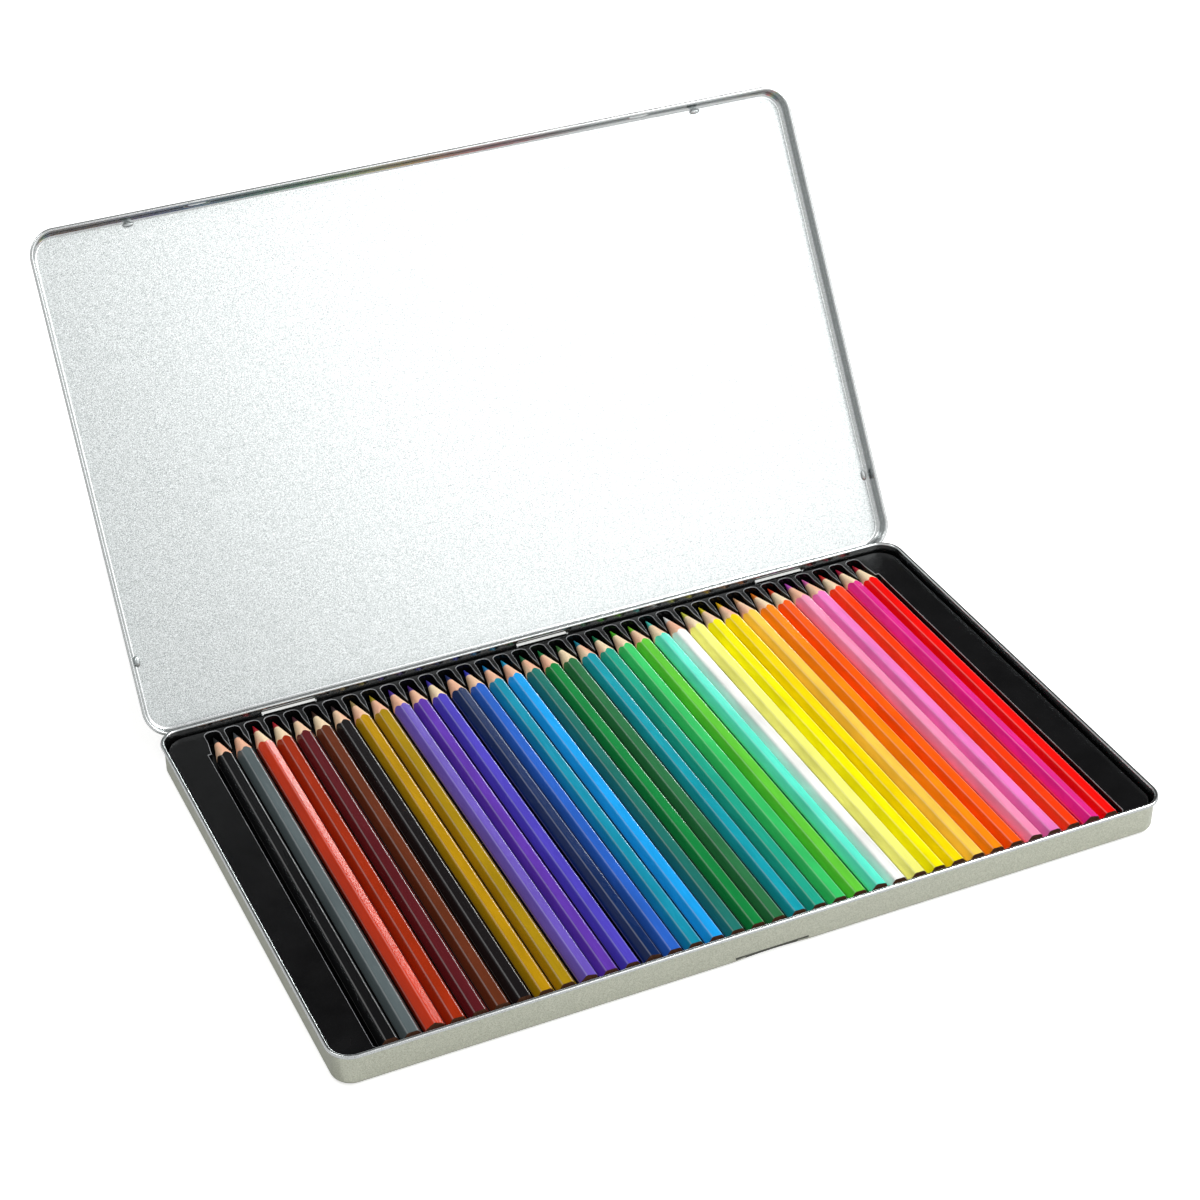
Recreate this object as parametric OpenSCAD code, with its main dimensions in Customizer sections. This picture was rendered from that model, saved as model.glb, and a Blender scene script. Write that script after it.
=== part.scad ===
// Shallow tinplate box with a hinged lid, a formed insert tray and 36 hexagonal colored pencils.
// Millimetres, +Z up. X runs along the pencil row, +Y points to the hinge.
// The origin is the middle of the base's underside. The lid rests open, leaning on its hinge stop.

/* [Tin] */
// Length of the base over its rolled rim
base_length = 306; // [305:0.5:318]
// Width of the base over its rolled rim, from front to hinge
base_width = 184.5; // [184.5:0.5:196]
// Height of the base over its rolled rim
base_height = 13.4; // [13.4:0.1:18]
// Plan radius of the base's corners over the rolled rim
corner_radius = 8.5; // [7:0.5:14]
// Thickness of the tinplate
sheet = 0.25; // [0.22:0.01:0.3]
// Outside diameter of the rolled rims
curl_d = 1.5; // [1.4:0.05:1.8]
// Outside radius of the bend between wall and floor
bottom_radius = 2; // [1.5:0.25:2.5]
// Length of the finger recess low on the front wall
finger_recess_length = 27; // [20:1:40]
// Height of the finger recess
finger_recess_height = 2.5; // [2.25:0.25:4]
// How far the finger recess goes in
finger_recess_depth = 0.6; // [0.3:0.05:0.6]

/* [Lid] */
// Gap between the base's rim and the inside of the lid's skirt
lid_gap = 0.5; // [0.4:0.05:0.8]
// Height from the underside of the base to the top of the closed lid
closed_height = 15; // [15:0.25:18]
// Outside radius of the bend between the lid's panel and skirt
lid_bend_radius = 2; // [1.5:0.25:2.5]
// Angle between the closed lid and the open lid at rest
opening_angle = 123; // [100:1:130]
// How far the lid's snap dents stand in from the skirt
snap_depth = 0.7; // [0.3:0.05:0.8]
// Length of a snap dent
snap_length = 11; // [6:1:16]
// Distance of each snap dent from the middle of the tin
snap_x = 90; // [60:1:130]
// Distance of each front pip from the middle of the tin
front_pip_x = 116; // [100:1:140]
// Distance of the side pips behind the middle of the tin
side_pip_y = 65; // [30:1:75]

/* [Hinge] */
// Number of hinge windows along the rear wall, each with a hook at either end
hinge_count = 3; // [2:1:3]
// Distance from one hinge window to the next
hinge_spacing = 102; // [80:1:110]
// Length of a hinge window in the rear wall
window_length = 21.5; // [16:0.5:26]
// Height of the hinge axis above the underside of the base
hinge_z = 10.2; // [10.2:0.05:10.4]
// Gap between a hook and the lid's rolled edge that turns in it
hook_clearance = 0.1; // [0.08:0.01:0.12]

/* [Pencils] */
// Length of a pencil
pencil_length = 175; // [170:0.5:176]
// Distance from one pencil's axis to the next
pencil_pitch = 7.6; // [7.5:0.05:7.6]
// Size of the barrel across two flats
pencil_flats = 6.45; // [6:0.05:6.45]
// Diameter of the colored core
core_d = 2.5; // [2:0.1:3.8]
// Radius that is left at the sharpened tip
tip_radius = 0.15; // [0.1:0.05:0.4]
// Growth of the sharpened cone's radius along each millimetre
cone_slope = 0.225; // [0.18:0.005:0.3]
// Y of the sharpened tips
tip_y = 88.2; // [87:0.1:88.4]
// How far the row of pencils is pushed to the right in the tray
row_shift = 0.6; // [-1:0.1:1]

/* [Tray] */
// Gap between the tray's skirt and the wall of the base
tray_gap = 0.8; // [0.8:0.05:1]
// Height of the tray's top face above the underside of the base
tray_top = 10.2; // [9:0.1:10.5]
// Height of the pencil bed above the underside of the base
bed_z = 4.3; // [3:0.1:4.5]
// Thickness of the formed plastic sheet
tray_sheet = 0.4; // [0.3:0.05:0.5]
// Height of the low ridges between the pencils
ridge_height = 1.2; // [0.6:0.1:1.4]

/* [Hidden] */
// Each pencil's name, lacquer, core and roll about its own axis in degrees
pencils = [
    ["black", "#1d1e20", "#1b1b1c", 4],
    ["grey", "#5b6668", "#4a4d50", 0],
    ["brick", "#c83410", "#b01226", 26],
    ["redwood", "#a02c0c", "#b0202c", 2],
    ["maroon", "#5c1a20", "#4e2430", -3],
    ["brown", "#66301a", "#3a2418", 0],
    ["umber", "#262224", "#3a2a2c", 3],
    ["ochre", "#b88c0a", "#a8905c", 0],
    ["olive_gold", "#a8860e", "#a8941c", -2],
    ["plum", "#6650b4", "#4a2a90", 14],
    ["violet", "#6238ac", "#4c2c80", 0],
    ["blue_violet", "#5044bc", "#4034a8", 2],
    ["navy", "#0c2c60", "#1c2a60", 12],
    ["blue", "#2a62c4", "#3038b4", 3],
    ["teal_blue", "#1690ac", "#107cb8", 0],
    ["sky_blue", "#1aa0ec", "#189cc8", 2],
    ["pine", "#207268", "#1c6840", 0],
    ["green", "#168640", "#1c8044", 0],
    ["moss", "#2e7446", "#3e7038", -2],
    ["teal", "#149cac", "#107c92", 2],
    ["sea_green", "#20a488", "#127048", 0],
    ["emerald", "#38c466", "#4cb41e", 3],
    ["leaf", "#62ca3a", "#78c428", 0],
    ["aqua", "#5ce6ca", "#44bcb0", 10],
    ["white", "#f4f4f0", "#e8e8e4", 0],
    ["cream", "#f8f67c", "#ccd048", 2],
    ["lemon", "#fcf000", "#dccc14", 0],
    ["yellow", "#fcdc00", "#e8b40c", -3],
    ["naples", "#f8c84c", "#d8a476", 0],
    ["orange", "#fa8a0a", "#e87c14", 2],
    ["vermilion", "#fa5a08", "#e0441c", 0],
    ["rose", "#f08cb0", "#c04ec0", 8],
    ["pink", "#ee7cc2", "#e268b4", 0],
    ["scarlet", "#f83c08", "#d02a24", 2],
    ["magenta", "#e01488", "#b4123e", 16],
    ["red", "#f20c06", "#c41a34", 0]
];
pencil_count = len(pencils);
function two_digits(number) = number < 10 ? str("0", number) : str(number);
function pencil_name(index) = str("pencil_", two_digits(index + 1), "_", pencils[index][0]);
$fn = 48;

tin_color = "#b4b5b0";
tray_color = "#1c1c1d";

// Corner centres, which the base, lid and tray share
curl_r = curl_d / 2;
corner_x = base_length / 2 - corner_radius;
corner_y = base_width / 2 - corner_radius;

// Distances from a corner centre outwards, and heights, of the base's wall
rim_x = corner_radius - curl_r;
rim_z = base_height - curl_r;
wall_in = corner_radius - curl_d;
wall_out = wall_in + sheet;

// The same of the lid's skirt, as it stands closed
skirt_in = corner_radius + lid_gap;
skirt_out = skirt_in + sheet;
lid_curl_x = skirt_in + curl_r;
hinge_y = corner_y + lid_curl_x;

// Hinge windows, and the hooks lanced from the wall at either end of each
window_bottom = tray_top - 0.1;
window_top = rim_z - 0.45;
window_corner = 0.9;
hook_in = curl_r + hook_clearance;
hook_out = hook_in + sheet;
hook_shift = 0.1;
hook_drop = 0.3;
hook_lip = 0.25;
hook_root_z = hinge_z - hook_drop - hook_out;
hook_length = 4;
hook_offset = window_length / 2 + hook_length / 2 + 0.25;
slot_length = 2 * hook_offset + hook_length + 1;
stop_angle = opening_angle + 0.5;
stop_reach = hook_shift + hook_out;
slot_height = (stop_reach - (curl_r - sheet) * cos(180 - stop_angle)) / sin(180 - stop_angle);

// Snap dents under the base's rim, and pips that rest on it
snap_r = 0.8;
snap_z = base_height - curl_d - 0.5;
pip_r = 0.9;
pip_length = 4;
pip_inset = 1.6;
pip_bottom = base_height + 0.15;

// Tray outline and its pockets. The skirt stands on the base's floor bend, and is relieved over the recess
tray_radius = 8;
tray_length = base_length - 2 * curl_d - 2 * tray_gap;
tray_width = base_width - 2 * curl_d - 2 * tray_gap;
skirt_reach = bottom_radius - sheet - tray_gap;
bend_rise = bottom_radius - sqrt(pow(bottom_radius - sheet, 2) - pow(skirt_reach, 2));
tray_bottom = bend_rise + 0.1;
skirt_relief = 1;
tray_edge_radius = 0.6;
bed_half_length = pencil_count * pencil_pitch / 2 + 1.3;
bed_front = tip_y - pencil_length - 1;
pocket_back = tip_y + 0.7;
pocket_half_width = 2.85;
pocket_radius = 2.1;
pocket_neck = 6;
shoulder_front = 12.2;
ridge_half_width = 1.2;
ridge_crest = 0.3;

// Pencil sections
barrel_r = pencil_flats / 2 / cos(30);
core_glue = 0.02;
rest_gap = 0.1;
cone_foot = (barrel_r + 0.3 - tip_radius) / cone_slope;
function pencil_x(index) = (index - (pencil_count - 1) / 2) * pencil_pitch + row_shift;
function reach_down(roll) = barrel_r * cos(30 - abs(roll));
function pencil_z(roll) = bed_z + rest_gap + reach_down(roll);

// A rectangle with round corners, centred
module rounded_rectangle(length, width, radius) {
    square([length - 2 * radius, width], center = true);
    square([length, width - 2 * radius], center = true);
    for (x = [-1, 1], y = [-1, 1])
        translate([x * (length / 2 - radius), y * (width / 2 - radius)])
            circle(r = radius);
}

// Sweeps a wall section, drawn from the corner centre outwards, round four corners
module sweep_wall(half_x, half_y) {
    for (quarter = [0 : 3]) {
        out = quarter % 2 == 0 ? half_x : half_y;
        along = quarter % 2 == 0 ? half_y : half_x;
        rotate([0, 0, 90 * quarter])
            translate([out, along, 0]) {
                rotate([90, 0, 0])
                    linear_extrude(2 * along)
                        children();
                rotate_extrude(angle = 90)
                    children();
            }
    }
}

// A rolled edge that leaves a wall at its inner side and turns outwards, open just before it closes
module curl_section() {
    difference() {
        circle(r = curl_r);
        circle(r = curl_r - sheet);
        polygon([[0, 0], [-2 * curl_r, 0], [-2 * curl_r, -2 * curl_r], [-0.95 * curl_r, -2 * curl_r]]);
    }
}

// A quarter bend between a wall and a floor, open towards its centre
module bend_section(radius, thickness) {
    difference() {
        circle(r = radius);
        circle(r = radius - thickness);
        translate([-2 * radius, -radius - 1])
            square([2 * radius, 2 * radius + 2]);
        translate([-radius - 1, 0])
            square([2 * radius + 2, 2 * radius]);
    }
}

// Wall of the base: floor bend, upright wall and outward rolled rim
module base_wall_section() {
    translate([wall_in, bottom_radius])
        square([sheet, rim_z - bottom_radius]);
    translate([wall_out - bottom_radius, bottom_radius])
        bend_section(bottom_radius, sheet);
    translate([rim_x, rim_z])
        curl_section();
}

// Lower part of the base's wall, which the finger recess repeats further in
module recess_section() {
    translate([wall_in, bottom_radius])
        square([sheet, finger_recess_height - bottom_radius]);
    translate([wall_out - bottom_radius, bottom_radius])
        bend_section(bottom_radius, sheet);
}

module finger_recess() {
    depth = finger_recess_depth;
    half = finger_recess_length / 2;
    front = corner_y + wall_out;
    rotate([0, 0, -90])
        translate([corner_y - depth, half, 0])
            rotate([90, 0, 0])
                linear_extrude(finger_recess_length)
                    recess_section();
    translate([-half, -front, finger_recess_height])
        cube([finger_recess_length, depth + sheet, sheet]);
    for (end = [-half - sheet, half])
        translate([end, -front, 0])
            difference() {
                cube([sheet, depth + bottom_radius, finger_recess_height + sheet]);
                translate([-1, bottom_radius, bottom_radius])
                    rotate([0, 90, 0])
                        difference() {
                            translate([0, -2 * bottom_radius, 0])
                                cube([2 * bottom_radius, 2 * bottom_radius, 2]);
                            cylinder(h = 2, r = bottom_radius);
                        }
            }
}

// Section of a hinge hook about the hinge axis, in Y and Z
module hook_section() {
    root = hinge_y - (corner_y + wall_in);
    translate([hook_shift, 0])
        intersection() {
            difference() {
                circle(r = hook_out);
                circle(r = hook_in);
            }
            square(2 * hook_out);
        }
    translate([hook_shift + hook_in, -hook_drop])
        square([sheet, hook_drop]);
    translate([hook_shift, -hook_drop])
        intersection() {
            difference() {
                circle(r = hook_out);
                circle(r = hook_in);
            }
            translate([0, -2 * hook_out])
                square(2 * hook_out);
        }
    translate([hook_shift - hook_lip, hook_in])
        square([hook_lip, sheet]);
    translate([-root, -hook_drop - hook_out])
        square([root + hook_shift, sheet]);
}

module hinge_hook() {
    translate([-hook_length / 2, hinge_y, hinge_z])
        rotate([90, 0, 90])
            linear_extrude(hook_length)
                hook_section();
}

module hinge_window() {
    translate([0, corner_y + wall_in - 0.5, (window_top + window_bottom) / 2])
        rotate([-90, 0, 0])
            linear_extrude(sheet + 0.55)
                rounded_rectangle(window_length, window_top - window_bottom, window_corner);
}

// The opening that a hook's tongue leaves in the wall, as tall as the hook is long when flat
module hook_lance() {
    flat = hook_shift + hinge_y - corner_y - wall_out + PI * (hook_in + sheet / 2) + hook_drop + hook_lip;
    translate([-hook_length / 2, corner_y + wall_in - 0.5, hook_root_z - flat])
        cube([hook_length, sheet + 1, flat]);
}

module at_hinges() {
    for (i = [0 : hinge_count - 1])
        translate([(i - (hinge_count - 1) / 2) * hinge_spacing, 0, 0])
            children();
}

module at_hooks() {
    at_hinges()
        for (side = [-1, 1])
            translate([side * hook_offset, 0, 0])
                children();
}

module tin_base() {
    radius = wall_out - bottom_radius;
    color(tin_color) {
        difference() {
            union() {
                sweep_wall(corner_x, corner_y)
                    base_wall_section();
                linear_extrude(sheet)
                    rounded_rectangle(2 * (corner_x + radius), 2 * (corner_y + radius), radius);
            }
            at_hinges()
                hinge_window();
            at_hooks()
                hook_lance();
            translate([-finger_recess_length / 2, -corner_y - wall_out - 1, -1])
                cube([finger_recess_length, bottom_radius + 1, finger_recess_height + 1]);
        }
        finger_recess();
        at_hooks()
            hinge_hook();
    }
}

// Skirt of the lid: panel bend, upright skirt and outward rolled edge
module lid_skirt_section() {
    bend_z = closed_height - lid_bend_radius;
    translate([skirt_in, hinge_z])
        square([sheet, bend_z - hinge_z]);
    translate([skirt_out - lid_bend_radius, bend_z])
        mirror([0, 1])
            bend_section(lid_bend_radius, sheet);
    translate([lid_curl_x, hinge_z])
        mirror([0, 1])
            curl_section();
}

// A pressed pip, long along X, that hangs from the lid's panel
module pip() {
    height = closed_height - pip_bottom - 0.1;
    half = pip_length / 2 - pip_r;
    translate([0, 0, pip_bottom]) {
        for (x = [-half, half])
            translate([x, 0, 0])
                cylinder(h = height, r = pip_r);
        translate([-half, -pip_r, 0])
            cube([2 * half, 2 * pip_r, height]);
    }
}

// A dent pressed inwards low on the front skirt, which clicks under the base's rim
module snap_dent() {
    face = corner_y + skirt_in;
    translate([-snap_length / 2, -face, snap_z])
        rotate([90, 0, 90])
            linear_extrude(snap_length)
                intersection() {
                    translate([snap_depth - snap_r, 0])
                        circle(r = snap_r);
                    translate([-sheet, -snap_r])
                        square([snap_depth + sheet, 2 * snap_r]);
                }
}

// The lid as it stands closed over the base
module lid_closed() {
    radius = skirt_out - lid_bend_radius;
    difference() {
        union() {
            sweep_wall(corner_x, corner_y)
                lid_skirt_section();
            translate([0, 0, closed_height - sheet])
                linear_extrude(sheet)
                    rounded_rectangle(2 * (corner_x + radius), 2 * (corner_y + radius), radius);
        }
        at_hinges()
            translate([-slot_length / 2, corner_y + skirt_in - 0.3, hinge_z])
                cube([slot_length, sheet + 0.5, slot_height]);
    }
    for (side = [-1, 1]) {
        translate([side * snap_x, 0, 0])
            snap_dent();
        translate([side * front_pip_x, pip_inset - base_width / 2, 0])
            pip();
        translate([side * (base_length / 2 - pip_inset), side_pip_y, 0])
            rotate([0, 0, 90])
                pip();
    }
}

module tin_lid() {
    color(tin_color)
        translate([0, hinge_y, hinge_z])
            rotate([-opening_angle, 0, 0])
                translate([0, -hinge_y, -hinge_z])
                    lid_closed();
}

// One tip pocket: a round-cornered end, then a shoulder that opens to the full pitch
module pocket_outline(index, grow) {
    half = pocket_half_width + grow;
    back = pocket_back + grow;
    neck = pocket_back - pocket_neck;
    front = tip_y - shoulder_front;
    translate([pencil_x(index) - row_shift, 0]) {
        translate([-half + pocket_radius, neck])
            square([2 * (half - pocket_radius), back - neck]);
        translate([-half, neck])
            square([2 * half, back - neck - pocket_radius]);
        for (side = [-1, 1])
            translate([side * (half - pocket_radius), back - pocket_radius])
                circle(r = pocket_radius);
        polygon([
            [-half, neck],
            [-pencil_pitch / 2 - grow, front],
            [-pencil_pitch / 2 - grow, front - 2],
            [pencil_pitch / 2 + grow, front - 2],
            [pencil_pitch / 2 + grow, front],
            [half, neck]
        ]);
    }
}

// Outline of the pencil bed with its row of tip pockets
module bed_outline(grow) {
    length = 2 * (bed_half_length + grow);
    translate([-length / 2, bed_front - grow])
        square([length, tip_y - shoulder_front - bed_front + grow]);
    for (i = [0 : pencil_count - 1])
        pocket_outline(i, grow);
}

// Skirt of the tray: upright wall and a small bend to the top face
module tray_skirt_section() {
    bend_z = tray_top - tray_edge_radius;
    translate([tray_radius - tray_sheet, tray_bottom])
        square([tray_sheet, bend_z - tray_bottom]);
    translate([tray_radius - 0.75 * tray_sheet, bend_z - 0.1])
        square([0.5 * tray_sheet, 0.2]);
    translate([tray_radius - tray_edge_radius, bend_z])
        mirror([0, 1])
            bend_section(tray_edge_radius, tray_sheet);
}

// Low ridges that keep the barrels side by side
module ridges() {
    for (i = [1 : pencil_count - 1])
        translate([(i - pencil_count / 2) * pencil_pitch, tip_y - shoulder_front - 3, bed_z - 0.1])
            rotate([90, 0, 0])
                linear_extrude(tip_y - shoulder_front - 3 - bed_front - 2)
                    polygon([
                        [-ridge_half_width, 0],
                        [ridge_half_width, 0],
                        [ridge_crest, ridge_height + 0.1],
                        [-ridge_crest, ridge_height + 0.1]
                    ]);
}

module pencil_tray() {
    flat = tray_radius - tray_edge_radius;
    half_x = tray_length / 2 - tray_radius;
    half_y = tray_width / 2 - tray_radius;
    relief_height = finger_recess_height + 2 * sheet;
    color(tray_color) {
        difference() {
            sweep_wall(half_x, half_y)
                tray_skirt_section();
            translate([-finger_recess_length / 2 - skirt_relief, -tray_width / 2 - 1, 0])
                cube([finger_recess_length + 2 * skirt_relief, tray_sheet + 2, relief_height]);
        }
        difference() {
            union() {
                translate([0, 0, tray_top - tray_sheet])
                    linear_extrude(tray_sheet)
                        rounded_rectangle(2 * (half_x + flat), 2 * (half_y + flat), flat);
                translate([0, 0, bed_z - tray_sheet])
                    linear_extrude(tray_top - bed_z + tray_sheet - 0.1)
                        bed_outline(tray_sheet);
            }
            translate([0, 0, bed_z])
                linear_extrude(tray_top)
                    bed_outline(0);
        }
        ridges();
    }
}

// Envelope of a sharpened pencil along Z, a little wider than the barrel
module sharpened_envelope() {
    wide = barrel_r + 0.3;
    rotate_extrude()
        polygon([
            [0, 0],
            [wide, 0],
            [wide, pencil_length - cone_foot],
            [tip_radius, pencil_length],
            [0, pencil_length]
        ]);
}

module pencil(index) {
    roll = pencils[index][3];
    translate([pencil_x(index), tip_y - pencil_length, pencil_z(roll)])
        rotate([-90, 0, 0])
            rotate([0, 0, roll]) {
                color(pencils[index][1])
                    difference() {
                        intersection() {
                            cylinder(h = pencil_length, r = barrel_r, $fn = 6);
                            sharpened_envelope();
                        }
                        translate([0, 0, -1])
                            cylinder(h = pencil_length + 2, d = core_d + 2 * core_glue);
                    }
                color(pencils[index][2])
                    intersection() {
                        cylinder(h = pencil_length, d = core_d);
                        sharpened_envelope();
                    }
            }
}

tin_base();
tin_lid();
pencil_tray();
for (i = [0 : pencil_count - 1])
    pencil(i);
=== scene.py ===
from math import atan2, cos, hypot, pi, radians, sin

import bmesh
import bpy
from mathutils import Matrix, Vector


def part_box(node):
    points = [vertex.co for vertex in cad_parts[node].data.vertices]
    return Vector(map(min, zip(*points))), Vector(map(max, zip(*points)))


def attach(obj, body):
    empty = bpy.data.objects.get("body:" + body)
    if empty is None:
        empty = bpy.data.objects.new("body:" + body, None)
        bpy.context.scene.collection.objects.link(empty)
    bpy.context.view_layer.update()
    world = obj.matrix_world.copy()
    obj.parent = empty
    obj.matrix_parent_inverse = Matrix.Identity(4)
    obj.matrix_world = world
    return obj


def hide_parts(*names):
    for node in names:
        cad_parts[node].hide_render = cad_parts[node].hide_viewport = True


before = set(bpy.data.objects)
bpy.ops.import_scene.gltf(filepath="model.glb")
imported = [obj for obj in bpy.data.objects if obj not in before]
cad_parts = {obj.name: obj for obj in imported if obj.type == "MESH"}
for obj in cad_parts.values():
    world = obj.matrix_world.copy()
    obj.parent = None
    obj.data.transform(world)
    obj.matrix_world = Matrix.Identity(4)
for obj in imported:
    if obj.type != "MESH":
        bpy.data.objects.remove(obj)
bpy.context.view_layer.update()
print("frame loaded with", len(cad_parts), "nodes")

mm = 0.001  # pieces are drawn in millimetres, and finishPiece brings them to metres


# Drawing with bmesh: a section grows from one vertex, by straight runs and by arcs
def lineTo(bm, tip, *step):
    new = bmesh.ops.extrude_vert_indiv(bm, verts=[tip])["verts"][0]
    new.co += Vector(step)
    return new


def arcTo(bm, tip, centre, axis, turn, steps):
    grown = bmesh.ops.spin(bm, geom=[tip], cent=centre, axis=axis, angle=radians(turn), steps=steps)
    return [g for g in grown["geom_last"] if isinstance(g, bmesh.types.BMVert)][0]


def vertsOf(geom):
    return [g for g in geom if isinstance(g, bmesh.types.BMVert)]


def edgesAmong(geom, verts):
    ends = set(verts)
    edges = [g for g in geom if isinstance(g, bmesh.types.BMEdge)]
    return [e for e in edges if e.verts[0] in ends and e.verts[1] in ends]


def growEdges(bm, edges, step):
    # extrudes a chain of edges and returns the far end's edges and vertices
    geom = bmesh.ops.extrude_edge_only(bm, edges=edges)["geom"]
    verts = vertsOf(geom)
    bmesh.ops.translate(bm, vec=step, verts=verts)
    return edgesAmong(geom, verts), verts


def sweepRound(bm, halfX, halfY, cornerSteps):
    # carries the section in bm along four straight walls and round four corners
    bmesh.ops.translate(bm, vec=(halfX, -halfY, 0), verts=bm.verts)
    edges, verts = list(bm.edges), list(bm.verts)
    for quarter in range(4):
        out, along = (halfX, halfY) if quarter % 2 == 0 else (halfY, halfX)
        turn = Matrix.Rotation(radians(90 * quarter), 3, "Z")
        edges, verts = growEdges(bm, edges, turn @ Vector((0, 2 * along, 0)))
        corner = turn @ Vector((out, along, 0))
        last = bmesh.ops.spin(
            bm, geom=edges + verts, cent=corner, axis=(0, 0, 1), angle=radians(90), steps=cornerSteps
        )["geom_last"]
        verts = vertsOf(last)
        edges = edgesAmong(last, verts)
    bmesh.ops.remove_doubles(bm, verts=bm.verts, dist=0.002)


def fillLoop(bm, height):
    # closes the inner edge of a swept wall with one flat face
    loop = [e for e in bm.edges if e.is_boundary and all(abs(v.co.z - height) < 0.01 for v in e.verts)]
    return bmesh.ops.contextual_create(bm, geom=loop)["faces"][0]


def cutPlane(bm, faces, point, normal):
    geom = set(faces)
    for face in faces:
        geom.update(face.edges)
        geom.update(face.verts)
    bmesh.ops.bisect_plane(bm, geom=list(geom), dist=0.0005, plane_co=point, plane_no=normal)


def facesWithin(bm, low, high, slack=0.01):
    found = []
    for face in bm.faces:
        centre = face.calc_center_median()
        if all(low[i] - slack < centre[i] < high[i] + slack for i in range(3)):
            found.append(face)
    return found


def pressDent(bm, faces, centre, sides, push, steps, fullness):
    # cuts a fine grid into a flat wall round centre and pushes it out to a smooth dent; sides are
    # the dent's two directions along the wall, each with its half size
    onWall = (push.normalized(), 0.2)  # leaves out what isn't this close to the wall

    def near(point, *reaches):
        return all(abs((point - centre).dot(axis)) < reach for axis, reach in reaches)

    for axis, half in sides:
        for spot in (-1, 1):
            cutPlane(bm, [f for f in faces if f.is_valid], centre + axis * half * spot, axis)
        faces = [f for f in bm.faces if near(f.calc_center_median(), (axis, half), onWall)]
    for axis, half in sides:
        for k in range(1, steps):
            patch = [f for f in bm.faces if near(f.calc_center_median(), *sides, onWall)]
            cutPlane(bm, patch, centre + axis * half * (-1 + 2 * k / steps), axis)
    for v in bm.verts:
        if near(v.co, *sides, onWall):
            a, b = [(v.co - centre).dot(axis) / half for axis, half in sides]
            v.co += push * ((1 - a ** 4) * (1 - b * b)) ** fullness


def giveMaterial(faces, index):
    for face in faces:
        face.material_index = index


def finishPiece(
    bm, name, body, nodes, materials, sheet=None, offset=0.0, sharp=38, skins=None
):
    # sheet is a wall's thickness in millimetres; skins are the steps in the list of materials from
    # a face to its outer side and to its rim; edges over the angle sharp, in degrees, stay sharp
    bmesh.ops.scale(bm, vec=(mm, mm, mm), verts=bm.verts)
    for face in bm.faces:
        face.smooth = True
    mesh = bpy.data.meshes.new(name)
    bm.to_mesh(mesh)
    bm.free()
    for material in materials:
        mesh.materials.append(material)
    piece = bpy.data.objects.new(name, mesh)
    bpy.context.scene.collection.objects.link(piece)
    if sheet:
        wall = piece.modifiers.new("sheet", "SOLIDIFY")
        wall.thickness = sheet * mm
        wall.offset = offset
        wall.use_even_offset = True
        if skins:
            wall.material_offset, wall.material_offset_rim = skins
    mesh.set_sharp_from_angle(angle=radians(sharp))
    weigh = piece.modifiers.new("flat faces stay flat", "WEIGHTED_NORMAL")
    weigh.keep_sharp = True
    weigh.weight = 60  # the large faces count for more
    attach(piece, body)
    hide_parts(*nodes)
    return piece


# Materials
def linear(hexColor):
    values = [int(hexColor[k:k + 2], 16) / 255 for k in (1, 3, 5)]
    return [v / 12.92 if v <= 0.04045 else ((v + 0.055) / 1.055) ** 2.4 for v in values] + [1.0]


def startMaterial(name):
    material = bpy.data.materials.new(name)
    material.use_nodes = True
    nodes = material.node_tree.nodes
    return material, nodes["Principled BSDF"], nodes.new("ShaderNodeTexCoord").outputs["Object"]


def addNode(material, kind, settings, links):
    # settings are the node's own properties or the values of its inputs, links go from outputs to inputs
    node = material.node_tree.nodes.new(kind)
    for key, value in settings.items():
        if isinstance(key, str) and hasattr(node, key):
            setattr(node, key, value)
        else:
            node.inputs[key].default_value = value
    for key, source in links.items():
        material.node_tree.links.new(source, node.inputs[key])
    return node


def setShader(material, shader, values, links):
    for key, value in values.items():
        shader.inputs[key].default_value = value
    for key, source in links.items():
        material.node_tree.links.new(source, shader.inputs[key])
    return material


def noiseOf(material, place, size, detail, stretch=(1, 1, 1)):
    # a noise with features of that size in millimetres, drawn out along the stretched axes
    spread = addNode(
        material, "ShaderNodeMapping",
        {"Scale": [1 / (size * mm * s) for s in stretch]}, {"Vector": place},
    )
    return addNode(
        material, "ShaderNodeTexNoise",
        {"Scale": 1.0, "Detail": detail, "Roughness": 0.6}, {"Vector": spread.outputs[0]},
    ).outputs[0]


def rampOf(material, source, low, high, outLow, outHigh):
    return addNode(
        material, "ShaderNodeMapRange",
        {"From Min": low, "From Max": high, "To Min": outLow, "To Max": outHigh}, {"Value": source},
    ).outputs[0]


mixSockets = {"factor": 0, "first": 6, "second": 7, "result": 2}  # of a Mix node that mixes colors


def blendOf(material, factor, first, second):
    # from the first color to the second; each is a hex value or another node's output
    settings, links = {"data_type": "RGBA"}, {mixSockets["factor"]: factor}
    for end, color in (("first", first), ("second", second)):
        if isinstance(color, str):
            settings[mixSockets[end]] = linear(color)
        else:
            links[mixSockets[end]] = color
    return addNode(material, "ShaderNodeMix", settings, links).outputs[mixSockets["result"]]


# each surface of the tinplate: its darker and its paler color, its roughness, and how deep the grain is
tinplateLook = {
    "grain": 0.32,  # millimetres from one grain to the next
    "rolledLines": (0.5, 30),  # width in millimetres, and how many times longer
    "inside": (("#8c9191", "#d6dada"), (0.28, 0.36), 0.7),
    "outside": (("#9b9d90", "#babcae"), (0.3, 0.38), 0.4),
    "drawn": (("#a4a7a7", "#c4c7c7"), (0.18, 0.24), 0.06),
    # painted shade: a darker, duller tinplate for under the brow of the finger recess
    "browShade": (("#3f403b", "#5a5c55"), (0.4, 0.5), 0.4),
}


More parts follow.
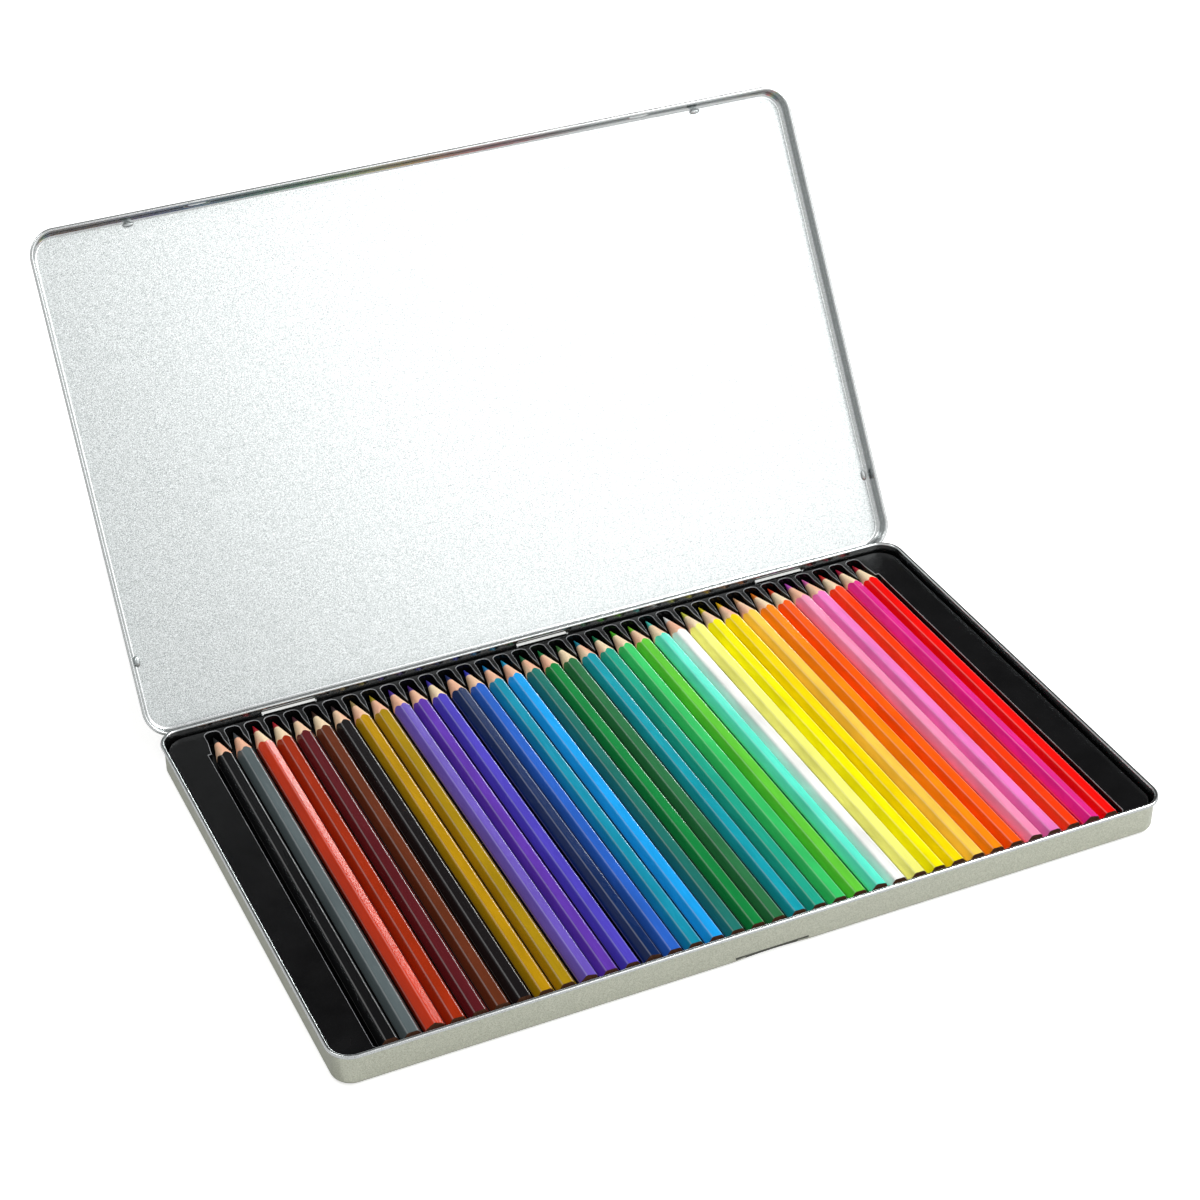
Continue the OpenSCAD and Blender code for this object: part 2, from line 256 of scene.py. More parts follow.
def tinplate(name, colors, roughness, bumpStrength):
    # cold rolled steel with a stone finish, electro-tinned and lacquered: a matt grain on bright metal,
    # about twice as coarse here as on real sheet, so that it shows from where the tin is seen whole
    material, shader, place = startMaterial(name)
    width, length = tinplateLook["rolledLines"]
    grain = noiseOf(material, place, tinplateLook["grain"], 2.0)
    rolled = noiseOf(material, place, width, 2.0, (length, 1, 1))
    color = blendOf(material, rampOf(material, grain, 0.37, 0.63, 0, 1), *colors)
    rough = rampOf(material, grain, 0.3, 0.7, *roughness)
    bump = addNode(
        material, "ShaderNodeBump", {"Strength": bumpStrength, "Distance": 0.02 * mm}, {"Height": grain}
    )
    brushed = addNode(
        material, "ShaderNodeBump", {"Strength": 0.15, "Distance": 0.01 * mm},
        {"Height": rolled, "Normal": bump.outputs[0]},
    )
    return setShader(
        material, shader, {"Metallic": 1.0},
        {"Base Color": color, "Roughness": rough, "Normal": brushed.outputs[0]},
    )


trayLook = {
    "flat": ("#09090a", "#0f0f10"),
    # the pale pair paints the highlight along the bed's and the pockets' rounded edges
    "edgeHighlight": ("#6c6e70", "#97999b"),
    "pebble": 0.7,  # millimetres
    "clouds": 15,
    "roughness": (0.2, 0.28),
}


def trayPlastic(name, dark, light):
    # high impact polystyrene sheet, vacuum formed: satin, with the mould's fine pebble; near black, and
    # pale where it paints the highlight on the formed edges
    material, shader, place = startMaterial(name)
    pebble = noiseOf(material, place, trayLook["pebble"], 2.0)
    clouds = noiseOf(material, place, trayLook["clouds"], 3.0)
    color = blendOf(material, rampOf(material, clouds, 0.35, 0.7, 0, 1), dark, light)
    bump = addNode(
        material, "ShaderNodeBump", {"Strength": 0.35, "Distance": 0.01 * mm}, {"Height": pebble}
    )
    return setShader(
        material, shader, {"IOR": 1.55, "Specular IOR Level": 0.2},
        {
            "Base Color": color,
            "Roughness": rampOf(material, clouds, 0.3, 0.7, *trayLook["roughness"]),
            "Normal": bump.outputs[0],
        },
    )


def shaded(hexColor, factor):
    values = [int(hexColor[k:k + 2], 16) for k in (1, 3, 5)]
    return "#" + "".join("%02x" % max(0, min(255, round(v * factor))) for v in values)


coatLook = {
    "facing": (0.47, 0.61),  # the gloss grows between these, towards the barrel's edges
    "weight": (0.1, 1.0),
    "cornerHighlight": 0.22,  # share of white painted as a highlight line on each corner
    "ripple": (1.1, 9),  # width in millimetres, and how many times longer
    "clouds": (5, 5),
}


def lacquer(name, hexColor):
    # nitrocellulose lacquer, drawn on in several coats: deep gloss with a faint ripple along the barrel,
    # and a highlight line painted on each corner
    material, shader, place = startMaterial("lacquer_" + name)
    width, length = coatLook["ripple"]
    ripple = noiseOf(material, place, width, 2.0, (1, length, 1))
    width, length = coatLook["clouds"]
    clouds = noiseOf(material, place, width, 3.0, (1, length, 1))
    coat = blendOf(
        material, rampOf(material, clouds, 0.3, 0.7, 0, 1), shaded(hexColor, 0.93), shaded(hexColor, 1.03)
    )
    # a share of white along each corner paints a highlight line
    corner = addNode(material, "ShaderNodeAttribute", {"attribute_name": "corner"}, {}).outputs["Fac"]
    color = blendOf(material, rampOf(material, corner, 0, 1, 0, coatLook["cornerHighlight"]), coat, "#ffffff")
    bump = addNode(
        material, "ShaderNodeBump", {"Strength": 0.12, "Distance": 0.012 * mm}, {"Height": ripple}
    )
    facing = addNode(material, "ShaderNodeLayerWeight", {"Blend": 0.5}, {}).outputs["Facing"]
    return setShader(
        material, shader, {"IOR": 1.5, "Specular IOR Level": 0.06, "Coat Roughness": 0.07},
        {
            "Base Color": color,
            "Roughness": rampOf(material, clouds, 0.3, 0.7, 0.2, 0.32),
            "Coat Weight": rampOf(material, facing, *coatLook["facing"], *coatLook["weight"]),
            "Normal": bump.outputs[0],
        },
    )


woodLook = {
    "pale": "#f0d9b4", "warm": "#ecb596", "vein": "#c08c62",
    "fibre": 0.24,  # millimetres
    "end": ("#4a2a1c", "#8a5a3c"),
    "pore": 0.3,
}


def casingWood():
    # straight grained basswood, cut by a sharpener: pale tan with short fibres and a dry, matt surface
    material, shader, place = startMaterial("sharpenedBasswood")
    tone = noiseOf(material, place, 9, 1.0, (1, 40, 40))
    fibres = noiseOf(material, place, woodLook["fibre"], 3.0, (1, 18, 1))
    base = blendOf(material, rampOf(material, tone, 0.42, 0.58, 0, 1), woodLook["pale"], woodLook["warm"])
    color = blendOf(material, rampOf(material, fibres, 0.52, 0.75, 0, 0.55), base, woodLook["vein"])
    bump = addNode(
        material, "ShaderNodeBump", {"Strength": 0.6, "Distance": 0.03 * mm}, {"Height": fibres}
    )
    return setShader(
        material, shader, {"IOR": 1.45, "Roughness": 0.62},
        {"Base Color": color, "Normal": bump.outputs[0]},
    )


def endWood():
    # the sawn end: the same wood across its grain, darkened by dust of the coats
    material, shader, place = startMaterial("sawnEndGrain")
    pores = noiseOf(material, place, woodLook["pore"], 3.0)
    color = blendOf(material, rampOf(material, pores, 0.35, 0.7, 0, 1), *woodLook["end"])
    bump = addNode(
        material, "ShaderNodeBump", {"Strength": 0.5, "Distance": 0.03 * mm}, {"Height": pores}
    )
    return setShader(
        material, shader, {"IOR": 1.45, "Roughness": 0.7},
        {"Base Color": color, "Normal": bump.outputs[0]},
    )


coreLook = {"grit": 0.18, "darker": 0.82, "paler": 1.08}


def coreWax(name, hexColor):
    # pigment and kaolin bound with wax: a soft, slightly greasy sheen and a granular cut surface
    material, shader, place = startMaterial("core_" + name)
    grit = noiseOf(material, place, coreLook["grit"], 3.0)
    color = blendOf(
        material, rampOf(material, grit, 0.35, 0.68, 0, 1),
        shaded(hexColor, coreLook["darker"]), shaded(hexColor, coreLook["paler"]),
    )
    bump = addNode(
        material, "ShaderNodeBump", {"Strength": 0.6, "Distance": 0.02 * mm}, {"Height": grit}
    )
    return setShader(
        material, shader, {"IOR": 1.45, "Roughness": 0.45},
        {"Base Color": color, "Normal": bump.outputs[0]},
    )


# the outside has a thicker clear varnish, which yellows it a little
varnished = tinplate("varnishedTinplate", *tinplateLook["outside"])
# a face shows its own metal inside the tin, and the next one of the list on its outer side
tinMetals = [
    tinplate("stoneFinishTinplate", *tinplateLook["inside"]),
    varnished,
    # walls and rolled edges are burnished by the die that draws them
    tinplate("drawnTinplate", *tinplateLook["drawn"]),
    varnished,
    # and a darker, duller tinplate paints the shade under the brow of the finger recess
    tinplate("browShadeTinplate", *tinplateLook["browShade"]),
]
tinFaces = {"panel": 0, "drawn": 2, "browShade": 3, "skins": (1, 0)}
blackPlastic = trayPlastic("vacuumFormedPolystyrene", *trayLook["flat"])
# where the sheet turns sharply into the bed and the pockets, a pale plastic paints the highlight along the
# rounded edges
edgeHighlightPlastic = trayPlastic("edgeHighlightPolystyrene", *trayLook["edgeHighlight"])
wood = casingWood()
woodEnd = endWood()

# The tin, as its solids have it, in millimetres
tin = {
    "halfX": 144.5,  # corner centres that the base and the lid share
    "halfY": 83.75,
    "sheet": 0.25,
    "wall": 7.125,  # middle of the base's wall, out from a corner centre
    "skirt": 9.125,  # middle of the lid's skirt, likewise
    "bend": 1.875,  # middle radius of the bends
    "bendTop": 2.0,
    "rimZ": 12.65,  # centre of the base's rolled rim
    "curl": 0.625,  # middle radius of the rolled edges
    "curlTurn": 295,
    "bendSteps": 7,
    "curlSteps": 18,
    "cornerSteps": 18,
    "lidTop": 15.0,
    "hingeY": 93.5,
    "hingeZ": 10.2,
    "open": 123,  # degrees
    "hinges": (-102, 0, 102),
}
recess = {
    "half": 13.5,
    "steps": 14,
    "profile": ((0, 0.5), (0.9, 0.55), (1.7, 0.65), (2.45, 1.0), (2.75, 0)),  # heights and depths
    "browShadeLow": 0.9,
    "browShadeMiddle": 1.7,  # up to here only the middle gets the painted shade
    "browShadeShare": 0.7,
    "browShadeDeep": 1.2,
}
window = {"length": 21.5, "low": 10.1, "high": 12.2, "corner": 0.9}
hook = {
    "length": 4.0, "offset": 13.0, "radius": 0.975, "shift": 0.1, "drop": 0.3, "lip": 0.25,
    "lanceLow": 2.59, "lanceHigh": 8.8,  # the opening that it leaves, as tall as it is long when flat
}
slotCut = {"length": 31.0, "height": 1.108}  # in the lid's skirt; its upper edge leans on the hooks
snap = {"x": 90, "half": 5.5, "z": 11.4, "tall": 0.9, "depth": 0.95, "steps": 10, "fullness": 0.8}
pip = {
    "frontX": 116, "sideY": 65, "inset": 1.6, "long": 2.0, "wide": 0.9, "depth": 1.15,
    "sink": 0.35,  # its widest place lies this far under the panel
}


def loopIn(bm, left, right, low, high, y, corner):
    # an upright rectangle's edges, with its corners rounded
    start = bm.verts.new((left, y, low))
    across = lineTo(bm, lineTo(bm, start, right - left, 0, 0), 0, 0, high - low)
    bm.edges.new((lineTo(bm, across, left - right, 0, 0), start))
    around = list(start.link_edges) + list(across.link_edges)
    panel = bmesh.ops.contextual_create(bm, geom=around)["faces"][0]
    if corner:
        bmesh.ops.bevel(
            bm, geom=list(panel.verts), offset=corner, segments=6, profile=0.5,
            affect="VERTICES", material=-1, offset_type="OFFSET",
        )
        middle = Vector(((left + right) / 2, y, (low + high) / 2))
        panel = min(bm.faces, key=lambda f: (f.calc_center_median() - middle).length)
    edges = list(panel.edges)
    bmesh.ops.delete(bm, geom=[panel], context="FACES_ONLY")
    return edges


def cutWindows(bm):
    # the rear wall is filled again round its windows and the openings that the hooks leave
    rear = tin["halfY"] + tin["wall"]
    upright = [f for f in bm.faces if abs(f.calc_center_median().y - rear) < 0.01]
    whole = max(upright, key=lambda f: f.calc_area())
    edges = list(whole.edges)
    bmesh.ops.delete(bm, geom=[whole], context="FACES_ONLY")
    for x in tin["hinges"]:
        half = window["length"] / 2
        edges += loopIn(bm, x - half, x + half, window["low"], window["high"], rear, window["corner"])
        half = hook["length"] / 2
        for middle in (x - hook["offset"], x + hook["offset"]):
            edges += loopIn(bm, middle - half, middle + half, hook["lanceLow"], hook["lanceHigh"], rear, 0)
    wall = bmesh.ops.triangle_fill(bm, use_beauty=True, use_dissolve=False, edges=edges, normal=(0, 1, 0))
    giveMaterial([g for g in wall["geom"] if isinstance(g, bmesh.types.BMFace)], tinFaces["drawn"])


def pressRecess(bm):
    # the shallow place for a finger tip low on the front wall, deepest in the middle and under its brow,
    # with shade painted under the brow
    front = -tin["halfY"] - tin["wall"]
    half, steps, top = recess["half"], recess["steps"], recess["profile"][-1][0]

    def frontFaces():
        return facesWithin(
            bm, (-tin["halfX"], front - 0.1, tin["sheet"] / 2),
            (tin["halfX"], front + tin["bend"] + 0.1, tin["rimZ"]),
        )

    for k in range(steps + 1):
        cutPlane(bm, frontFaces(), (half * (2 * k / steps - 1), 0, 0), (1, 0, 0))
    for height, _ in recess["profile"][1:]:
        cutPlane(bm, frontFaces(), (0, 0, height), (0, 0, 1))
    for v in bm.verts:
        if abs(v.co.x) < half and v.co.y < front + tin["bend"] + 0.05:
            for (low, first), (high, last) in zip(recess["profile"], recess["profile"][1:]):
                if low <= v.co.z < high:
                    share = (v.co.z - low) / (high - low)
                    v.co.y += (first + (last - first) * share) * (1 - (v.co.x / half) ** 2)
                    break
    # the faces under the brow take the darker tinplate as painted shade, the lower ones only in the middle
    pressed = facesWithin(
        bm, (-half, front - 0.1, recess["browShadeLow"]), (half, front + recess["browShadeDeep"], top), 0
    )
    for face in pressed:
        centre = face.calc_center_median()
        reach = half if centre.z > recess["browShadeMiddle"] else half * recess["browShadeShare"]
        if abs(centre.x) < reach:
            giveMaterial([face], tinFaces["browShade"])


def addHook(bm, x):
    # a tongue lanced from the wall, which runs out and turns up round the lid's rolled edge
    known = set(bm.edges)
    wallY = tin["halfY"] + tin["wall"] - tin["sheet"] / 2
    centreY, lowZ = tin["hingeY"] + hook["shift"], tin["hingeZ"] - hook["drop"]
    start = bm.verts.new((x - hook["length"] / 2, wallY, lowZ - hook["radius"]))
    tip = lineTo(bm, start, 0, centreY - start.co.y, 0)
    tip = arcTo(bm, tip, (0, centreY, lowZ), (1, 0, 0), 90, 8)
    tip = lineTo(bm, tip, 0, 0, hook["drop"])
    tip = arcTo(bm, tip, (0, centreY, tin["hingeZ"]), (1, 0, 0), 90, 8)
    lineTo(bm, tip, 0, -hook["lip"], 0)
    section = [e for e in bm.edges if e not in known]
    growEdges(bm, section, Vector((hook["length"], 0, 0)))


def faceInside(bm, up):
    # the sheet's faces look into the tin, so that solidify adds the outside
    bmesh.ops.recalc_face_normals(bm, faces=bm.faces)
    panel = max(bm.faces, key=lambda f: f.calc_area())
    if panel.normal.z * up < 0:
        bmesh.ops.reverse_faces(bm, faces=bm.faces)


def makeBase():
    bm = bmesh.new()
    bendX = tin["wall"] - tin["bend"]
    tip = bm.verts.new((bendX, 0, tin["sheet"] / 2))
    tip = arcTo(bm, tip, (bendX, 0, tin["bendTop"]), (0, 1, 0), -90, tin["bendSteps"])
    tip = lineTo(bm, tip, 0, 0, tin["rimZ"] - tin["bendTop"])
    curlX = tin["wall"] + tin["curl"]
    arcTo(bm, tip, (curlX, 0, tin["rimZ"]), (0, 1, 0), tin["curlTurn"], tin["curlSteps"])
    sweepRound(bm, tin["halfX"], tin["halfY"], tin["cornerSteps"])
    giveMaterial(bm.faces, tinFaces["drawn"])
    pressRecess(bm)
    giveMaterial([fillLoop(bm, tin["sheet"] / 2)], tinFaces["panel"])
    cutWindows(bm)
    for x in tin["hinges"]:
        for side in (-1, 1):
            addHook(bm, x + side * hook["offset"])
    faceInside(bm, 1)
    return finishPiece(
        bm, "tinBase", "base", ["tin_base"], tinMetals,
        sheet=tin["sheet"], skins=tinFaces["skins"],
    )


def makeLid():
    # drawn closed over the base, then turned about the hinge to its open rest
    bm = bmesh.new()
    bendX = tin["skirt"] - tin["bend"]
    bendZ = tin["lidTop"] - tin["bendTop"]
    panelZ = tin["lidTop"] - tin["sheet"] / 2
    tip = bm.verts.new((bendX, 0, panelZ))
    tip = arcTo(bm, tip, (bendX, 0, bendZ), (0, 1, 0), 90, tin["bendSteps"])
    tip = lineTo(bm, tip, 0, 0, tin["hingeZ"] - bendZ)
    curlX = tin["skirt"] + tin["curl"]
    arcTo(bm, tip, (curlX, 0, tin["hingeZ"]), (0, 1, 0), -tin["curlTurn"], tin["curlSteps"])
    sweepRound(bm, tin["halfX"], tin["halfY"], tin["cornerSteps"])
    giveMaterial(bm.faces, tinFaces["drawn"])
    giveMaterial([fillLoop(bm, panelZ)], tinFaces["panel"])
    front = -tin["halfY"] - tin["skirt"]

    def skirtFaces(y):
        return facesWithin(
            bm, (-tin["halfX"], y - 0.1, tin["hingeZ"] + 0.1), (tin["halfX"], y + 0.1, bendZ - 0.1)
        )

    for side in (-1, 1):
        pressDent(
            bm, skirtFaces(front), Vector((side * snap["x"], front, snap["z"])),
            ((Vector((1, 0, 0)), snap["half"]), (Vector((0, 0, 1)), snap["tall"])),
            Vector((0, snap["depth"], 0)), snap["steps"], snap["fullness"],
        )
    # the pips stand over the base's rim, two along its front and one on each side
    rimOut = tin["wall"] + 2 * tin["curl"] + tin["sheet"] / 2 - pip["inset"]
    tall = pip["depth"] - pip["sink"]
    pips = []
    for side in (-1, 1):
        pips.append((side * pip["frontX"], -tin["halfY"] - rimOut, (pip["long"], pip["wide"], tall)))
        pips.append((side * (tin["halfX"] + rimOut), pip["sideY"], (pip["wide"], pip["long"], tall)))
    for x, y, sizes in pips:
        middle = Matrix.Translation((x, y, panelZ - pip["sink"]))
        cap = bmesh.ops.create_uvsphere(
            bm, u_segments=20, v_segments=12, radius=1, matrix=middle @ Matrix.Diagonal(sizes).to_4x4()
        )
        # only the part under the panel stays
        over = [v for v in cap["verts"] if v.co.z > panelZ]
        bmesh.ops.delete(bm, geom=over, context="VERTS")
    half, slotTop = slotCut["length"] / 2, tin["hingeZ"] + slotCut["height"]
    for x in tin["hinges"]:
        for edge in (x - half, x + half):
            cutPlane(bm, skirtFaces(-front), (edge, 0, 0), (1, 0, 0))
        near = [f for f in skirtFaces(-front) if abs(f.calc_center_median().x - x) < half]
        cutPlane(bm, near, (0, 0, slotTop), (0, 0, 1))
        near = [f for f in skirtFaces(-front) if abs(f.calc_center_median().x - x) < half]
        gone = [f for f in near if f.calc_center_median().z < slotTop]
        bmesh.ops.delete(bm, geom=gone, context="FACES")
    faceInside(bm, -1)
    bmesh.ops.rotate(
        bm, cent=(0, tin["hingeY"], tin["hingeZ"]),
        matrix=Matrix.Rotation(radians(-tin["open"]), 3, "X"), verts=bm.verts,
    )
    return finishPiece(
        bm, "tinLid", "lid", ["tin_lid"], tinMetals,
        sheet=tin["sheet"], skins=tinFaces["skins"],
    )


makeBase()
makeLid()
print("tin made")

# The formed tray, in millimetres
tray = {
    "halfX": 150.7,
    "halfY": 89.95,
    "corner": 8.0,
    "foot": 0.63,  # height of the skirt's lower edge
    "top": 10.2,
    "edge": 0.6,  # radius of the outer top edge
    "sheet": 0.4,
    "bedX": 138.1,
    "bedFront": -87.8,
    "bedCorner": 1.2,
    "bedZ": 4.3,
    "lip": 0.25,  # radius of the bed's and the pockets' top edge
    "draft": 0.12,  # how far the bed's walls lean in
    "bedRound": 0.3,  # radius where they run out to the bed
    "pitch": 7.6,
    "count": 36,
    "pocketHalf": 2.85,
    "pocketBack": 88.9,
    "pocketRound": 2.1,
    "neck": 82.9,
    "shoulder": 76.0,
    "ridgeHalf": 1.2,
    "ridgeFront": -85.8,
    "ridgeBack": 73.0,
    "ridgeSteps": ((0.25, 0.12), (0.55, 0.96), (0.2, 0.12)),  # how far each runs in, and its rise
    "reliefHalf": 14.5,  # the notch in the skirt over the base's finger recess
    "reliefTop": 3.0,
}
trayFaces = {"edgeHighlight": 1}  # its place in the tray's materials


def pocketPath(bm, index, grow):
    # one tip pocket from its left shoulder to its right one; grow moves the outline out
    slope = (tray["pitch"] / 2 - tray["pocketHalf"]) / (tray["neck"] - tray["shoulder"])
    leanCos, leanSin = 1 / hypot(1, slope), slope / hypot(1, slope)
    middle = (index - (tray["count"] - 1) / 2) * tray["pitch"]
    half = tray["pocketHalf"] + grow
    neck = tray["neck"] + grow * (1 - leanCos) / leanSin
    fork = tray["neck"] + (grow - (tray["pitch"] / 2 - tray["pocketHalf"]) * leanCos) / leanSin
    radius = tray["pocketRound"] + grow
    straight = tray["pocketBack"] + grow - radius - neck
    start = bm.verts.new((middle - tray["pitch"] / 2, fork, tray["top"]))
    if index == 0:
        start.co.x -= grow * (1 - leanSin) / leanCos
        start.co.y = tray["shoulder"] + grow
    tip = lineTo(bm, start, middle - half - start.co.x, neck - start.co.y, 0)
    tip = lineTo(bm, tip, 0, straight, 0)
    tip = arcTo(bm, tip, (tip.co.x + radius, tip.co.y, tray["top"]), (0, 0, 1), -90, 6)
    tip = lineTo(bm, tip, 2 * (half - radius), 0, 0)
    tip = arcTo(bm, tip, (tip.co.x, tip.co.y - radius, tray["top"]), (0, 0, 1), -90, 6)
    tip = lineTo(bm, tip, 0, -straight, 0)
    end = lineTo(bm, tip, middle + tray["pitch"] / 2 - tip.co.x, fork - tip.co.y, 0)
    if index == tray["count"] - 1:
        end.co.x += grow * (1 - leanSin) / leanCos
        end.co.y = tray["shoulder"] + grow
    return start, end


def faceUp(face):
    face.normal_update()
    if face.normal.z < 0:
        face.normal_flip()
    return face


def flatPlate(bm, left, right, front, back, height):
    known = set(bm.edges)
    start = bm.verts.new((left, front, height))
    tip = lineTo(bm, start, right - left, 0, 0)
    tip = lineTo(bm, tip, 0, back - front, 0)
    tip = lineTo(bm, tip, left - right, 0, 0)
    bm.edges.new((tip, start))
    around = [e for e in bm.edges if e not in known]
    return faceUp(bmesh.ops.contextual_create(bm, geom=around)["faces"][0])


def bedFace(bm, grow):
    # the outline of the bed with all its pockets, as one face
    paths = [pocketPath(bm, index, grow) for index in range(tray["count"])]
    first, last = paths[0][0], paths[-1][1]
    side, front = tray["bedX"] + grow, tray["bedFront"] - grow
    radius = tray["bedCorner"] + grow
    tip = lineTo(bm, last, side - last.co.x, 0, 0)
    tip = lineTo(bm, tip, 0, front + radius - tip.co.y, 0)
    tip = arcTo(bm, tip, (side - radius, front + radius, tray["top"]), (0, 0, 1), -90, 6)
    tip = lineTo(bm, tip, -2 * (side - radius), 0, 0)
    tip = arcTo(bm, tip, (radius - side, front + radius, tray["top"]), (0, 0, 1), -90, 6)
    tip = lineTo(bm, tip, 0, first.co.y - tip.co.y, 0)
    bm.edges.new((tip, first))
    loose = [v for v in bm.verts if not v.link_faces]
    bmesh.ops.remove_doubles(bm, verts=loose, dist=0.001)
    loop = [e for e in bm.edges if not e.link_faces]
    return faceUp(bmesh.ops.contextual_create(bm, geom=loop)["faces"][0])


def stepIn(bm, face, inward, down):
    bmesh.ops.inset_region(
        bm, faces=[face], thickness=inward, depth=-down, use_even_offset=True, use_boundary=True
    )


def roundEdge(bm, face, radius, steps, flatFirst, down=1):
    # a quarter round in small insets, which starts flat or steep; down is -1 where it rises
    for k in range(steps):
        a, b = pi / 2 * k / steps, pi / 2 * (k + 1) / steps
        more, less = radius * (sin(b) - sin(a)), radius * (cos(a) - cos(b))
        if flatFirst:
            stepIn(bm, face, more, less * down)
        else:
            stepIn(bm, face, less, more * down)


def makeTray():
    bm = bmesh.new()
    # the skirt and its rounded upper edge, grown up from its foot
    flatPlate(bm, -tray["halfX"], tray["halfX"], -tray["halfY"], tray["halfY"], tray["foot"])
    bmesh.ops.bevel(
        bm, geom=list(bm.verts), offset=tray["corner"], segments=12, profile=0.5,
        affect="VERTICES", material=-1, offset_type="OFFSET",
    )
    plate = faceUp(list(bm.faces)[0])
    upright = 0.0001  # an inset this small makes a plain upright wall
    stepIn(bm, plate, upright, tray["foot"] + tray["edge"] - tray["top"])
    roundEdge(bm, plate, tray["edge"], 6, False, -1)
    outer = list(plate.edges)
    bmesh.ops.delete(bm, geom=[plate], context="FACES_ONLY")

    def frontSkirt(halfX):
        front, straightTop = -tray["halfY"], tray["top"] - tray["edge"]
        return facesWithin(bm, (-halfX, front - 0.1, 0), (halfX, front + 0.1, straightTop))

    for x in (-tray["reliefHalf"], tray["reliefHalf"]):
        cutPlane(bm, frontSkirt(tray["halfX"] - tray["corner"]), (x, 0, 0), (1, 0, 0))
    middle = frontSkirt(1)
    cutPlane(bm, middle, (0, 0, tray["reliefTop"]), (0, 0, 1))
    notch = [f for f in frontSkirt(1) if f.calc_center_median().z < tray["reliefTop"]]
    bmesh.ops.delete(bm, geom=notch, context="FACES")
    # the bed with its tip pockets, pressed down from the top
    bed = bmesh.new()
    hole = bedFace(bed, tray["lip"])
    roundEdge(bed, hole, tray["lip"], 4, True)
    # the rounded top edges of the bed and the pockets take the pale plastic: a painted highlight
    giveMaterial([f for f in bed.faces if f is not hole], trayFaces["edgeHighlight"])
    stepIn(bed, hole, tray["draft"], tray["top"] - tray["bedZ"] - tray["lip"] - tray["bedRound"])
    roundEdge(bed, hole, tray["bedRound"], 4, False)
    floorEdges = list(hole.edges)
    bmesh.ops.delete(bed, geom=[hole], context="FACES_ONLY")
    for i in range(1, tray["count"]):
        left = (i - tray["count"] / 2) * tray["pitch"] - tray["ridgeHalf"]
        ridge = flatPlate(
            bed, left, left + 2 * tray["ridgeHalf"], tray["ridgeFront"], tray["ridgeBack"], tray["bedZ"]
        )
        floorEdges += list(ridge.edges)
        for inward, rise in tray["ridgeSteps"]:
            stepIn(bed, ridge, inward, -rise)
    bmesh.ops.triangle_fill(bed, use_beauty=True, use_dissolve=False, edges=floorEdges, normal=(0, 0, 1))
    part = bpy.data.meshes.new("bed")
    bed.to_mesh(part)
    bed.free()
    bm.from_mesh(part)
    bpy.data.meshes.remove(part)
    inner = [
        e for e in bm.edges
        if e.is_boundary and e not in outer and all(abs(v.co.z - tray["top"]) < 0.001 for v in e.verts)
    ]
    bmesh.ops.triangle_fill(bm, use_beauty=True, use_dissolve=False, edges=outer + inner, normal=(0, 0, 1))
    bmesh.ops.recalc_face_normals(bm, faces=bm.faces)
    top = [f for f in bm.faces if abs(f.calc_center_median().z - tray["top"]) < 0.01]
    if top[0].normal.z < 0:
        bmesh.ops.reverse_faces(bm, faces=bm.faces)
    return finishPiece(
        bm, "pencilTray", "tray", ["pencil_tray"], [blackPlastic, edgeHighlightPlastic],
        sheet=tray["sheet"], offset=-1.0, sharp=50,
    )


makeTray()
print("tray made")

# The pencils from left to right: lacquer, core and roll about the pencil's own axis in degrees
pencilRow = [
    ("#131314", "#1b1b1c", 4), ("#5b6668", "#4a4d50", 0), ("#c83410", "#b01226", 26),
    ("#a02c0c", "#b0202c", 2), ("#5c1a20", "#4e2430", -3), ("#66301a", "#3a2418", 0),
    ("#191617", "#3a2a2c", 3), ("#b88c0a", "#a8905c", 0), ("#a8860e", "#a8941c", -2),
    ("#6650b4", "#4a2a90", 14), ("#6238ac", "#4c2c80", 0), ("#5044bc", "#4034a8", 2),
    ("#0a2656", "#1c2a60", 12), ("#2a62c4", "#3038b4", 3), ("#1690ac", "#107cb8", 0),
    ("#1aa0ec", "#189cc8", 2), ("#207268", "#1c6840", 0), ("#168640", "#1c8044", 0),
    ("#2e7446", "#3e7038", -2), ("#149cac", "#107c92", 2), ("#20a488", "#127048", 0),
    ("#38c466", "#4cb41e", 3), ("#62ca3a", "#78c428", 0), ("#5ce6ca", "#44bcb0", 10),
    ("#f4f4f0", "#e8e8e4", 0), ("#f8f67c", "#ccd048", 2), ("#fcf000", "#dccc14", 0),
    ("#fcdc00", "#e8b40c", -3), ("#f8c84c", "#d8a476", 0), ("#fa8a0a", "#e87c14", 2),
    ("#fa5a08", "#e0441c", 0), ("#f08cb0", "#c04ec0", 8), ("#ee7cc2", "#e268b4", 0),
    ("#f83c08", "#d02a24", 2), ("#e01488", "#b4123e", 16), ("#f20c06", "#c41a34", 0),
]
barrel = {
    "flats": 6.45,
    "round": 0.6,  # length of each corner's rounding along the flat
    "highlightArc": 0.07,  # half width, in radians, of the painted highlight line on each corner
    "cone": 0.225,  # growth of the cone's radius along each millimetre
    "tip": 0.15,
    "core": 1.25,
    "coatEdge": 0.13,  # where the side ends and the rounding of the back end starts
    "woodShares": (0.3, 0.5, 1.0),  # rings on the cone, on the way from the barrel to the core
    "coreRadii": (0.85, 0.45, 0.22),
    "point": (0.12, 0.03),  # radius of the blunt point, and how far it stands back
    # the back end's rings as shares of the barrel or the core, and how deep they lie
    "coatEnd": ((0.99, 0.03), (0.975, 0)),
    "woodEnd": (0.93, 0.02),
    "coreEnd": (0.96, 0.07),
}
pencilFaces = {"coat": 0, "wood": 1, "core": 2, "end": 3}


def ringOn(bm, edges, material, move):
    # grows the next ring of the pencil's skin; move gives a vertex its new place
    geom = bmesh.ops.extrude_edge_only(bm, edges=edges)["geom"]
    verts = vertsOf(geom)
    for v in verts:
        v.co = move(v.co)
    giveMaterial([g for g in geom if isinstance(g, bmesh.types.BMFace)], material)
    return edgesAmong(geom, verts)


